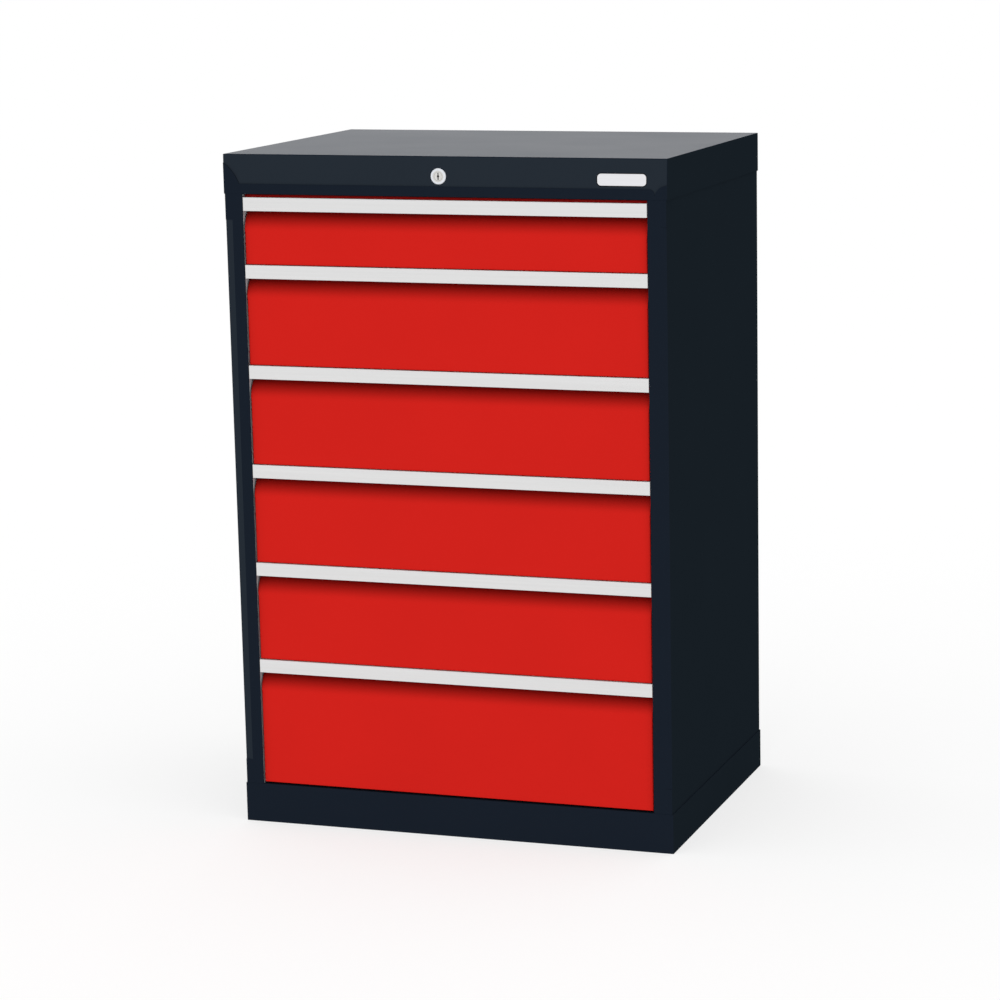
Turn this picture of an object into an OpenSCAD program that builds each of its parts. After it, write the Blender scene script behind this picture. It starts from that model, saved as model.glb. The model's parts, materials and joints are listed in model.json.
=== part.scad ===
// Workshop drawer cabinet: folded housing, six telescopic drawers, one lock.
// Millimetres, front towards -Y, standing on Z = 0, centred in X and Y.

/* [Housing] */
// Overall width, over the cover and the base
cabinet_w = 682; // [640:2:760]
// Overall depth, over the cover and the base
cabinet_d = 500; // [490:5:600]
// Height of the base
base_h = 60; // [50:1:90]
// Height of the cover's skirts and fascia
cover_h = 58.5; // [54:0.5:70]
// Sheet of the cover and the base, which they stand out beyond the side panels
cap_t = 1.5; // [1:0.5:3]
// Sheet of the side, back and floor panels
panel_t = 1.5; // [1:0.5:2]
// Width of a front post, from the side panel's face to the opening
post_w = 28; // [24:0.5:34]
// Depth of the fascia, from its front to its back
fascia_t = 5; // [4:0.5:8]

/* [Fascia and posts] */
// Height of the raised strip along the fascia's lower edge
lip_h = 15; // [10:1:18]
// Depth of the pressed fascia panel at its lower edge
press_low = 0.4; // [0.2:0.1:0.8]
// Depth of the pressed fascia panel at its upper edge
press_high = 2.6; // [1.6:0.2:3]
// Reach of the raised strip past the opening's right edge
strip_over = 11; // [6:1:16]
// Radius of the raised strip's upper right corner
strip_r = 8; // [4:1:10]
// Radius of the curve round the flat land at the fascia's left end
left_land_r = 64; // [56:1:72]
// How far that curve's middle lies beyond the fascia's end
left_land_out = 35; // [30:1:40]
// How far that curve's middle lies below the fascia's lower edge
left_land_drop = 8; // [4:1:12]
// Radius of the curve round the flat land at the fascia's right end
right_land_r = 19; // [17:0.5:22]
// How far that curve's middle lies above the fascia's lower edge
right_land_rise = 1.5; // [0:0.5:4]
// Depth of the fold under the fascia
fold_d = 14; // [8:1:16]
// Width of the stopped bevel on a post
bevel_w = 11; // [6:1:14]
// Depth of the stopped bevel on a post
bevel_d = 1.2; // [0.6:0.2:1.4]
// Distance of the bevel's ends from the ends of the opening
bevel_stop = 38; // [20:2:80]

/* [Base] */
// Depth of the base's upper flange
base_top_flange = 20; // [12:1:26]
// Depth of the base's lower flange
base_low_flange = 30; // [24:1:40]
// Step from the base's upper edge down to its upper flange
base_step = 1.5; // [1:0.5:2]
// Radius of a floor-fixing hole
fix_r = 4.5; // [3:0.25:6]
// Distance between the fixing holes from front to back
fix_span = 400; // [300:10:420]

/* [Drawers] */
// Pitch of the top drawer
first_pitch = 100; // [100:5:150]
// Pitch of each of the four middle drawers
middle_pitch = 150; // [100:5:200]
// Pitch of the bottom drawer
last_pitch = 200; // [120:5:300]
// Height by which the opening exceeds the stack of drawers
stack_slack = 0.5; // [0:0.5:6]
// Gap between the cover and the first grip
cover_gap = 5; // [5:0.5:9]
// Gap between a front and the post beside it
side_gap = 1.5; // [1:0.5:2.5]
// Gap below each front
front_gap = 1; // [1:0.5:4]
// Gap under the bottom drawer's front
base_gap = 3; // [1:0.5:4]
// Sheet of a drawer front
front_t = 1.5; // [1:0.5:2]
// Distance of the fronts' main face behind the housing's front
front_inset = 2; // [1:0.5:4]
// Depth of the curved finger recess
recess_d = 15; // [13:0.5:18]
// Height of the curved finger recess below the grip
recess_h = 30; // [26:1:36]
// Height by which the first front rises above its grip
first_rise = 4; // [3:0.5:4]
// Distance of the first front's cap behind the housing's front
cap_inset = 7; // [4:0.5:9]
// Sheet of a tray
tray_t = 1.2; // [1:0.1:2]
// Length of a tray
tray_l = 408; // [380:2:420]
// Height of a tray's floor above the pitch line
tray_lift = 8; // [6:0.5:12]
// Height by which a tray's side stays below the grip's top
tray_drop = 17; // [14:1:22]
// Height by which a tray's front wall stays below the grip's top
wall_drop = 3; // [2:0.5:4]
// Thickness of the hem along a tray's rim
hem_t = 2.4; // [2:0.2:4]
// Height of the hem along a tray's rim
hem_h = 12; // [6:1:16]

/* [Grips] */
// Height of a grip rail's face
grip_h = 20; // [18:1:26]
// How far a grip rail reaches past its front at each end
grip_over = 0.7; // [0.2:0.1:0.7]
// Wall of a grip rail
grip_t = 2.5; // [2:0.25:3.5]
// Height of the grip rail's rear web
grip_web_h = 15; // [13:1:18]
// Radius of the bead along the grip's lower edge
bead_r = 1.9; // [1.5:0.1:2.2]
// Radius of a grip screw
screw_r = 2; // [1.5:0.1:2.5]
// Radius of a grip screw's head
screw_head_r = 4; // [3.5:0.25:5]
// Height of a grip screw's head
screw_head_h = 2.4; // [1.6:0.2:3]
// Spacing of the grip screws
screw_pitch = 160; // [100:10:180]

/* [Slides] */
// Half the height of a fixed slide channel
slide_half_h = 22; // [20:1:24]
// Sheet of a slide channel
slide_t = 1.5; // [1.2:0.1:1.7]
// Length of a slide channel
slide_l = 400; // [360:5:410]
// Height of the slide's middle above the tray's floor
slide_lift = 30; // [28:1:32]
// Space between a tray and the uprights
slide_space = 13.5; // [13:0.5:15]
// Running clearance between slide channels
slide_clear = 0.4; // [0.3:0.05:0.6]

/* [Uprights] */
// Depth of an upright, from front to back
upright_d = 40; // [36:1:50]
// Sheet of an upright
upright_t = 2; // [1.5:0.25:2.5]
// Distance of an upright's face behind the edge of the opening
upright_inset = 1; // [0.5:0.5:2]
// Distance of the rear uprights from the back of the slides
rear_inset = 5; // [0:1:20]
// Spacing of the slots
slot_pitch = 25; // [20:1:40]
// Height of a slot
slot_h = 12; // [8:1:14]
// Width of a slot
slot_w = 4; // [3:0.5:5]

/* [Lock] */
// Lock position from the cabinet's middle
lock_x = -3; // [-60:1:60]
// Lock height above the fascia's lower edge
lock_rise = 29.5; // [28:0.5:31]
// Radius of the lock's ring
ring_r = 11.75; // [11:0.25:14]
// Depth of the ring's seat behind the housing's front
ring_t = 2; // [2:0.25:2.5]
// Radius of the lock's sleeve
sleeve_r = 9; // [8:0.25:10]
// Length of the lock's sleeve behind the ring
sleeve_l = 16; // [14:1:20]
// Radius of the lock's barrel
barrel_r = 6.2; // [5:0.2:7]
// Running clearance of the lock's parts
lock_clear = 0.3; // [0.2:0.05:0.4]
// Thickness of the cam, the cross bar and the crank
flat_t = 2; // [1.5:0.25:3]
// Sideways travel of the cross bar for a quarter turn
cross_travel = 10; // [8:0.5:11]
// Radius of the pins on the cam and the crank
pin_r = 2.2; // [1.8:0.1:2.6]
// Height of the cross bar
cross_h = 13; // [12.5:0.5:15]
// Radius of the upright lock rod
rod_r = 3.5; // [3:0.25:4]
// Reach of a hook from the rod's middle
hook_reach = 16.5; // [16:0.25:17]
// Width of a hook
hook_w = 8; // [6:0.5:10]
// Thickness of a hook
hook_t = 4; // [3:0.5:6]
// Width of the bare plate
plate_w = 72.5; // [40:0.5:90]
// Height of the bare plate
plate_h = 17; // [10:1:20]
// Thickness of the bare plate
plate_t = 0.9; // [0.5:0.1:1.2]
// Gap round the plate in its seat
plate_gap = 1.2; // [0.5:0.1:2]
// Distance of the plate's right end from the edge of the opening
plate_inset = 1.5; // [0:0.5:40]
// Height of the plate's middle above the fascia's lower edge
plate_rise = 28; // [26:0.5:34]

/* [Hidden] */
DRAWERS = 6;

// Colours
slate = [0.10, 0.13, 0.17];
signal_red = [0.81, 0.13, 0.11];
aluminium = [0.88, 0.88, 0.88];
light_grey = [0.78, 0.79, 0.80];
zinc = [0.66, 0.68, 0.70];
chrome = [0.83, 0.84, 0.84];

// Overshoot of a cut beyond the face that it opens
over = 1;
$fn = 64;

// Housing planes
half_w = cabinet_w / 2;
front_y = -cabinet_d / 2;
back_y = cabinet_d / 2;
side_x = half_w - cap_t;
wall_x = side_x - panel_t;
open_x = side_x - post_w;
pitches = [first_pitch, middle_pitch, middle_pitch, middle_pitch, middle_pitch, last_pitch];
function drop_to(i) = i == 0 ? 0 : drop_to(i - 1) + pitches[i - 1];
open_z = base_h;
cover_z = open_z + drop_to(DRAWERS) + stack_slack;
top_z = cover_z + cover_h;
flange_z = base_h - base_step;
back_in = back_y - cap_t;
panel_back = back_in - panel_t;
rear_fold = 20;
fix_x = side_x - base_low_flange / 2;

// Fascia
press_tilt = atan((press_high - press_low) / cover_h);
plate_corner = 5.5;
plate_x = open_x - plate_inset - plate_w / 2;
strip_end = open_x + strip_over;

// Drawers
stack_z = cover_z - cover_gap;
function grip_top(i) = stack_z - drop_to(i);
function pitch_line(i) = grip_top(i) - pitches[i];
function front_low(i) = max(pitch_line(i) + front_gap, open_z + base_gap);
function tray_low(i) = pitch_line(i) + tray_lift;
function tray_high(i) = grip_top(i) - tray_drop;
function slide_z(i) = tray_low(i) + slide_lift;
front_x = open_x - side_gap;
grip_x = front_x + grip_over;
face_y = front_y + front_inset;
recess_y = face_y + recess_d;
tray_y = recess_y + front_t;
upright_x = open_x + upright_inset;
tray_x = upright_x - slide_space;
slide_setback = 4;
slide_y = tray_y + slide_setback;
screw_drop = 9;
return_h = 16;
strip_gap = 0.3;
recess_steps = 10;
recess_r = (recess_d * recess_d + recess_h * recess_h) / (2 * recess_d);
recess_sweep = 2 * atan(recess_d / recess_h);
cap_y = front_y + cap_inset;
screw_clear = 0.25;

// Slides, from the upright inwards: fixed channel, middle channel, runner
mid_half_h = slide_half_h - slide_t - slide_clear;
run_half_h = mid_half_h - slide_t - slide_clear;
mid_x = upright_x - slide_t - slide_clear;
outer_lip = 9.5;
mid_lip = 9.6;
run_lip = 8.5;

// Uprights
upright_y = front_y + panel_t;
rear_y = slide_y + slide_l - rear_inset - upright_d;
slot_count = floor((cover_z - open_z - slot_h) / slot_pitch);

// Lock: cam behind the barrel, cross bar behind the cam, crank and rod below the cross bar's end
lock_z = cover_z + lock_rise;
cam_y = front_y + ring_t + sleeve_l + lock_clear;
cross_y = cam_y + flat_t + lock_clear;
cross_half = cross_travel / 2;
cam_pin_r = cross_travel / sqrt(2);
cam_rim = 1.4;
cam_r = cam_pin_r + pin_r + cam_rim;
pin_clear = 0.4;
slot_r = pin_r + pin_clear;
cross_drop = 1;
cross_low = lock_z - cross_drop;
cross_wall = 4;
rod_gap = 7;
rod_back = 6.5;
rod_x = upright_x + upright_t + rod_gap;
rod_y = upright_y + upright_d - upright_t - rod_back;
crank_z = cross_low - lock_clear - flat_t;
window_clear = 1;
catch_play = 3;
catch_y = rod_y + hook_w / 2 + catch_play;
catch_t = 14;
catch_h = 10;
catch_rise = 6;
catch_lift = slide_lift + slide_half_h + catch_rise;
catch_gap = 3.5;
catch_l = slide_space - catch_gap;
function catch_low(i) = tray_low(i) + catch_lift;
function hook_z(i) = catch_low(i) + (catch_h - hook_t) / 2;
bearing_t = 3;
bearing_rise = 14;
bearing_wall = 5;
bearings_at = [0, 2, 5];
guide_w = 14;
guide_wall = 5;
guide_shares = [0.3, 0.76];
guide_xs = [for (share = guide_shares) lock_x + share * (rod_x - lock_x)];
nut_t = 4;

// Helpers

// Places a profile drawn in Y and Z, centred along X
module along_x(length) {
    rotate([90, 0, 90]) linear_extrude(length, center = true) children();
}

// Places a profile drawn in X and Z, from y towards the back
module along_y(y, length) {
    translate([0, y + length, 0]) rotate([90, 0, 0]) linear_extrude(length) children();
}

// Round bar along Y
module rod(x, y, z, r, length) {
    translate([x, y, z]) rotate([-90, 0, 0]) cylinder(h = length, r = r);
}

// Both sides of the cabinet
module both_sides() {
    children();
    mirror([1, 0, 0]) children();
}

// Box between two corners
module block(low, high) {
    translate(low) cube(high - low);
}

// Folded sheet: the outer line of the profile, thickened to its right
function across(a, b) = let (d = (b - a) / norm(b - a)) [d[1], -d[0]];
function mitre(line, i, t) =
    let (
        before = i > 0 ? across(line[i - 1], line[i]) : across(line[0], line[1]),
        after = i < len(line) - 1 ? across(line[i], line[i + 1]) : before
    )
    line[i] + (before + after) * t / (1 + before * after);
module folded(line, t) {
    polygon(concat(line, [for (i = [len(line) - 1 : -1 : 0]) mitre(line, i, t)]));
}

// Channel section in X and Z with its web at web_x and its lips reaching inwards or outwards
module channel(web_x, lip_l, half_h, t, inward) {
    low_x = inward ? web_x - lip_l : web_x;
    hollow_x = inward ? low_x - over : low_x + t;
    difference() {
        translate([low_x, -half_h]) square([lip_l, 2 * half_h]);
        translate([hollow_x, t - half_h]) square([lip_l - t + over, 2 * (half_h - t)]);
    }
}

// Rectangle with round corners, centred
module round_rect(w, h, r) {
    square([w - 2 * r, h], center = true);
    square([w, h - 2 * r], center = true);
    for (sx = [-1, 1], sy = [-1, 1]) {
        translate([sx * (w / 2 - r), sy * (h / 2 - r)]) circle(r);
    }
}

// Plane of the pressed fascia panel, with Z running up the panel from the fascia's lower edge
module on_fascia() {
    translate([0, front_y + press_low, cover_z]) rotate([-press_tilt, 0, 0]) children();
}

// Floor of the plate's seat in the panel, for an outline that is then raised towards the front
module on_seat() {
    on_fascia() translate([0, plate_t, 0]) rotate([90, 0, 0]) children();
}

// Housing

// Outline of the pressed panel: the fascia without its strip and its end lands
module press_outline() {
    difference() {
        translate([-half_w - over, -over]) square([cabinet_w + 2 * over, cover_h + 2 * over]);
        translate([-half_w - over, -2 * over])
            square([half_w + strip_end - strip_r + over, lip_h + 2 * over]);
        translate([0, -2 * over]) square([strip_end, lip_h - strip_r + 2 * over]);
        translate([strip_end - strip_r, lip_h - strip_r]) circle(strip_r);
        translate([-half_w - left_land_out, -left_land_drop]) circle(left_land_r);
        translate([half_w, right_land_rise]) circle(right_land_r);
    }
}

// Outline of the plate, or of its seat, on the pressed panel and grown by a gap
module plate_outline(grow) {
    translate([plate_x, plate_rise])
        round_rect(plate_w + 2 * grow, plate_h + 2 * grow, plate_corner + grow);
}

module top_cover() {
    color(slate) {
        difference() {
            block([-half_w, front_y, cover_z], [half_w, back_y, top_z]);
            block([-side_x, front_y + fascia_t, cover_z - over], [side_x, back_in, top_z - cap_t]);
            on_fascia() rotate([90, 0, 0]) linear_extrude(press_high + over) press_outline();
            on_seat() linear_extrude(plate_t + over) plate_outline(plate_gap);
            rod(lock_x, front_y - over, lock_z, ring_r + lock_clear, ring_t + over);
            rod(lock_x, front_y, lock_z, sleeve_r + lock_clear, fascia_t + over);
        }
        block([-wall_x, front_y + fascia_t, cover_z], [wall_x, front_y + fold_d, cover_z + cap_t]);
    }
}

// Wedge that the post's stopped bevel takes off
module bevel_wedge() {
    translate([0, 0, open_z + bevel_stop]) linear_extrude(cover_z - open_z - 2 * bevel_stop)
        polygon([
            [side_x - bevel_w, front_y],
            [side_x + over, front_y - over],
            [side_x + over, front_y + bevel_d * (1 + over / bevel_w)]
        ]);
}

// Right side: wall, front post with its stopped bevel, fold at the back
module side_panel() {
    color(slate) {
        difference() {
            block([wall_x, front_y, open_z], [side_x, back_in, cover_z]);
            bevel_wedge();
        }
        block([wall_x, front_y + fascia_t, flange_z], [side_x, back_in, open_z]);
        block([wall_x, front_y + fascia_t, cover_z], [side_x, back_in, top_z - cap_t]);
        difference() {
            block([open_x, front_y, open_z], [wall_x, front_y + panel_t, cover_z]);
            bevel_wedge();
        }
        block([wall_x - rear_fold, panel_back - panel_t, open_z], [wall_x, panel_back, cover_z]);
    }
}

module side_panel_left() {
    mirror([1, 0, 0]) side_panel();
}

module side_panel_right() {
    side_panel();
}

module back_panel() {
    color(slate) block([-wall_x, panel_back, flange_z], [wall_x, back_in, top_z - cap_t]);
}

module floor_panel() {
    color(slate) block([-wall_x, front_y + cap_t, flange_z], [wall_x, panel_back, open_z]);
}

// Outer line of a base channel: lower flange, wall, upper flange
module base_section() {
    difference() {
        square([cap_t + base_low_flange, base_h]);
        translate([cap_t, cap_t]) square([base_low_flange + over, flange_z - 2 * cap_t]);
        translate([cap_t + base_top_flange, cap_t]) square([base_low_flange, base_h]);
        translate([cap_t, flange_z]) square([base_low_flange + over, base_h]);
    }
}

// Base channel across the cabinet, with its flanges between those of the sides
module base_across() {
    translate([0, front_y, 0]) difference() {
        along_x(cabinet_w) base_section();
        both_sides() block(
            [side_x - base_low_flange, cap_t, -over],
            [half_w + over, cap_t + base_low_flange + over, base_h + over]
        );
    }
}

module base_front() {
    color(slate) base_across();
}

module base_back() {
    color(slate) mirror([0, 1, 0]) base_across();
}

// Right base channel, between front and back, with its fixing holes
module base_side() {
    difference() {
        translate([half_w, 0, 0]) mirror([1, 0, 0])
            along_y(front_y + cap_t, cabinet_d - 2 * cap_t) base_section();
        for (y = [-fix_span / 2, fix_span / 2]) {
            translate([fix_x, y, -over]) cylinder(h = cap_t + 2 * over, r = fix_r);
        }
    }
}

module base_left() {
    color(slate) mirror([1, 0, 0]) base_side();
}

module base_right() {
    color(slate) base_side();
}

// Uprights

// Slotted column on the right, from y towards the back
module upright(y) {
    mid_y = y + upright_d / 2;
    color(light_grey) difference() {
        block([upright_x, y, open_z], [wall_x, y + upright_d, cover_z]);
        block(
            [upright_x + upright_t, y + upright_t, open_z - over],
            [wall_x + over, y + upright_d - upright_t, cover_z + over]
        );
        for (n = [1 : slot_count]) {
            translate([upright_x - over, mid_y - slot_w / 2, open_z + n * slot_pitch - slot_h / 2])
                cube([upright_t + 2 * over, slot_w, slot_h]);
        }
    }
}

module upright_front_left() {
    mirror([1, 0, 0]) upright(upright_y);
}

// The lock's hooks reach through windows in this column
module upright_front_right() {
    color(light_grey) difference() {
        upright(upright_y);
        for (i = [0 : DRAWERS - 1]) {
            block(
                [upright_x - over, rod_y - hook_reach, hook_z(i) - window_clear],
                [upright_x + upright_t + over, rod_y + hook_w / 2 + window_clear,
                 hook_z(i) + hook_t + window_clear]
            );
        }
    }
}

module upright_rear_left() {
    mirror([1, 0, 0]) upright(rear_y);
}

module upright_rear_right() {
    upright(rear_y);
}

// Slides

module slide_outers() {
    color(zinc) for (i = [0 : DRAWERS - 1]) {
        translate([0, 0, slide_z(i)]) along_y(slide_y, slide_l)
            channel(upright_x, outer_lip, slide_half_h, slide_t, true);
    }
}

module slide_outers_left() {
    mirror([1, 0, 0]) slide_outers();
}

module slide_outers_right() {
    slide_outers();
}

module slide_mid(i) {
    color(zinc) translate([0, 0, slide_z(i)]) both_sides() along_y(slide_y, slide_l)
        channel(mid_x, mid_lip, mid_half_h, slide_t, true);
}

// Runners on both sides of a tray, and the lock's catch on its right side
module runners(i) {
    color(zinc) {
        translate([0, 0, slide_z(i)]) both_sides() along_y(slide_y, slide_l)
            channel(tray_x, run_lip, run_half_h, slide_t, false);
        block(
            [tray_x, catch_y, catch_low(i)],
            [tray_x + catch_l, catch_y + catch_t, catch_low(i) + catch_h]
        );
    }
}

// Drawers

// Places of the grip screws along X
screw_xs = [for (n = [-1.5 : 1 : 1.5]) n * screw_pitch];

module screw_holes(i, clear) {
    for (x = screw_xs) {
        rod(x, front_y + grip_t + over, grip_top(i) - screw_drop, screw_r + clear, cabinet_d / 2);
    }
}

// Folded tray with hemmed rims and a taller front wall
module tray(i) {
    low = tray_low(i);
    high = tray_high(i);
    back = tray_y + tray_l;
    wall_top = grip_top(i) - wall_drop;
    color(light_grey) difference() {
        block([-tray_x, tray_y, low], [tray_x, back, wall_top]);
        block([-tray_x - over, tray_y + tray_t, high], [tray_x + over, back + over, wall_top + over]);
        block(
            [tray_t - tray_x, tray_y + tray_t, low + tray_t],
            [tray_x - tray_t, back - tray_t, high - hem_h]
        );
        block(
            [hem_t - tray_x, tray_y + tray_t, high - hem_h - over],
            [tray_x - hem_t, back - hem_t, high + over]
        );
        screw_holes(i, screw_clear);
    }
}

// Folded cap between the top grip and the fascia
module first_cap() {
    low = grip_top(0);
    high = low + first_rise;
    back = recess_y - strip_gap;
    along_x(2 * front_x) folded([[cap_y, low], [cap_y, high], [back, high], [back, low]], front_t);
}

// Folded red front: return flange, lower fold, main face and the curve of the finger recess, with
// the strip that the grip's screws clamp behind the grip
module front(i) {
    low = front_low(i);
    grip_low = grip_top(i) - grip_h;
    recess_low = grip_low - recess_h;
    recess = [
        for (n = [0 : recess_steps]) let (a = recess_sweep * n / recess_steps)
            [face_y + recess_r * (1 - cos(a)), recess_low + recess_r * sin(a)]
    ];
    color(signal_red) {
        difference() {
            block([-front_x, recess_y, grip_low + strip_gap], [front_x, tray_y, grip_top(i)]);
            screw_holes(i, screw_clear);
        }
        along_x(2 * front_x)
            folded(concat([[tray_y, low + return_h], [tray_y, low], [face_y, low]], recess), front_t);
        both_sides() block(
            [front_x - front_t, face_y + front_t, low + front_t],
            [front_x, tray_y, recess_low]
        );
        if (i == 0) {
            first_cap();
        }
    }
}

// Extruded grip: face with a beaded lower edge, top, rear web against the front
module grip(i) {
    top = grip_top(i);
    depth = recess_y - front_y;
    color(aluminium) difference() {
        along_x(2 * grip_x) {
            difference() {
                translate([front_y, top - grip_h]) square([depth, grip_h]);
                translate([front_y + grip_t, top - grip_h - over])
                    square([depth - 2 * grip_t, grip_h - grip_t + over]);
                translate([front_y + grip_t, top - grip_h - over])
                    square([depth, grip_h - grip_web_h + over]);
            }
            translate([front_y + grip_t, top - grip_h + bead_r]) circle(bead_r);
        }
        screw_holes(i, 0);
    }
}

// Button-head screws from inside the tray, through the front into the grip's web
module grip_screws(i) {
    seat = tray_y + tray_t;
    tip = recess_y - grip_t;
    color(zinc) for (x = screw_xs) {
        rod(x, tip, grip_top(i) - screw_drop, screw_r, seat - tip);
        translate([x, seat, grip_top(i) - screw_drop]) rotate([-90, 0, 0])
            cylinder(h = screw_head_h, r1 = screw_head_r, r2 = screw_head_r / 2);
    }
}

// Lock

module lock_housing() {
    bore_r = barrel_r + lock_clear;
    ring_bevel = ring_t / 2;
    color(chrome) difference() {
        union() {
            translate([lock_x, front_y, lock_z]) rotate([-90, 0, 0])
                cylinder(h = ring_bevel, r1 = ring_r - ring_bevel, r2 = ring_r);
            rod(lock_x, front_y + ring_bevel, lock_z, ring_r, ring_t - ring_bevel);
            rod(lock_x, front_y + ring_t, lock_z, sleeve_r, sleeve_l);
        }
        rod(lock_x, front_y - over, lock_z, bore_r, ring_t + sleeve_l + 2 * over);
    }
}

module lock_nut() {
    nut_r = sleeve_r * 1.55;
    color(zinc) difference() {
        translate([lock_x, front_y + fascia_t, lock_z]) rotate([-90, 0, 0])
            cylinder(h = nut_t, r = nut_r, $fn = 6);
        rod(lock_x, front_y, lock_z, sleeve_r, 2 * fascia_t + nut_t);
    }
}

// Barrel with its key slot
module lock_barrel() {
    key_w = 1.5;
    key_h = barrel_r * 1.65;
    key_eye = 1.7;
    barrel_front = front_y + lock_clear;
    color(chrome) difference() {
        rod(lock_x, barrel_front, lock_z, barrel_r, cam_y - barrel_front);
        translate([lock_x - key_w / 2, barrel_front - over, lock_z - key_h / 2])
            cube([key_w, sleeve_l / 2, key_h]);
        rod(lock_x, barrel_front - over, lock_z, key_eye, sleeve_l / 2);
    }
}

// Disc with the pin that pushes the cross bar, up and to the left at rest
module lock_cam() {
    color(zinc) {
        rod(lock_x, cam_y, lock_z, cam_r, flat_t);
        rod(lock_x - cross_half, cam_y + flat_t, lock_z + cross_half, pin_r, flat_t + 2 * lock_clear);
    }
}

// Flat bar with an upright slot for the cam's pin, and a tab with a slot for the crank's pin
module lock_slide() {
    cam_x = lock_x - cross_half;
    crank_x = rod_x - cross_half;
    left_x = cam_x - slot_r - cross_wall;
    right_x = crank_x + slot_r + cross_wall;
    tab_back = rod_y + cam_pin_r + pin_clear + slot_r + cross_wall;
    color(zinc) {
        difference() {
            block([left_x, cross_y, cross_low], [right_x, cross_y + flat_t, cross_low + cross_h]);
            block(
                [cam_x - slot_r, cross_y - over, lock_z + cross_half - pin_clear - slot_r],
                [cam_x + slot_r, cross_y + flat_t + over, lock_z + cam_pin_r + pin_clear + slot_r]
            );
        }
        difference() {
            block(
                [crank_x - slot_r - cross_wall, cross_y + flat_t, cross_low],
                [right_x, tab_back, cross_low + flat_t]
            );
            block(
                [crank_x - slot_r, rod_y + cross_half - pin_clear - slot_r, cross_low - over],
                [crank_x + slot_r, tab_back - cross_wall, cross_low + flat_t + over]
            );
        }
    }
}

// Upright rod with the crank that the cross bar turns
module lock_bar() {
    rod_low = hook_z(DRAWERS - 1) - hook_reach;
    color(zinc) {
        translate([rod_x, rod_y, rod_low]) cylinder(h = crank_z - rod_low, r = rod_r);
        translate([rod_x, rod_y, crank_z]) cylinder(h = flat_t, r = cam_r);
        translate([rod_x - cross_half, rod_y + cross_half, crank_z + flat_t])
            cylinder(h = flat_t + 2 * lock_clear, r = pin_r);
    }
}

// One hook on the rod for each drawer, towards the front at rest
module lock_hooks() {
    color(zinc) for (i = [0 : DRAWERS - 1]) {
        difference() {
            block(
                [rod_x - hook_w / 2, rod_y - hook_reach, hook_z(i)],
                [rod_x + hook_w / 2, rod_y, hook_z(i) + hook_t]
            );
            translate([rod_x, rod_y, hook_z(i) - over]) cylinder(h = hook_t + 2 * over, r = rod_r);
        }
    }
}

// Brackets on the fascia's back that the cross bar runs through, and bearings for the rod
module lock_guides() {
    high = cross_low + cross_h;
    back = cross_y + flat_t + lock_clear + guide_wall;
    color(zinc) {
        for (x = guide_xs) {
            difference() {
                block(
                    [x - guide_w / 2, front_y + fascia_t, cross_low - lock_clear - guide_wall],
                    [x + guide_w / 2, back, high + lock_clear + guide_wall]
                );
                block(
                    [x - guide_w, cross_y - lock_clear, cross_low - lock_clear],
                    [x + guide_w, cross_y + flat_t + lock_clear, high + lock_clear]
                );
            }
        }
        for (i = bearings_at) {
            z = hook_z(i) + bearing_rise;
            difference() {
                block(
                    [upright_x + upright_t, rod_y - rod_r - bearing_wall, z],
                    [rod_x + rod_r + bearing_wall, rod_y + rod_back, z + bearing_t]
                );
                translate([rod_x, rod_y, z - over])
                    cylinder(h = bearing_t + 2 * over, r = rod_r + lock_clear);
            }
        }
    }
}

module name_plate() {
    color(light_grey) on_seat() linear_extrude(plate_t) plate_outline(0);
}

// Assembly
top_cover();
side_panel_left();
side_panel_right();
back_panel();
floor_panel();
base_front();
base_back();
base_left();
base_right();
upright_front_left();
upright_front_right();
upright_rear_left();
upright_rear_right();
slide_outers_left();
slide_outers_right();
lock_housing();
lock_nut();
lock_guides();
name_plate();
lock_barrel();
lock_cam();
lock_slide();
lock_bar();
lock_hooks();
for (i = [0 : DRAWERS - 1]) {
    tray(i);
    front(i);
    grip(i);
    grip_screws(i);
    runners(i);
    slide_mid(i);
}
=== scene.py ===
import json
import math

import bmesh
import bpy
from bpy.props import FloatProperty, FloatVectorProperty, PointerProperty
from mathutils import Color, Euler, Matrix, Vector

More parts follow.
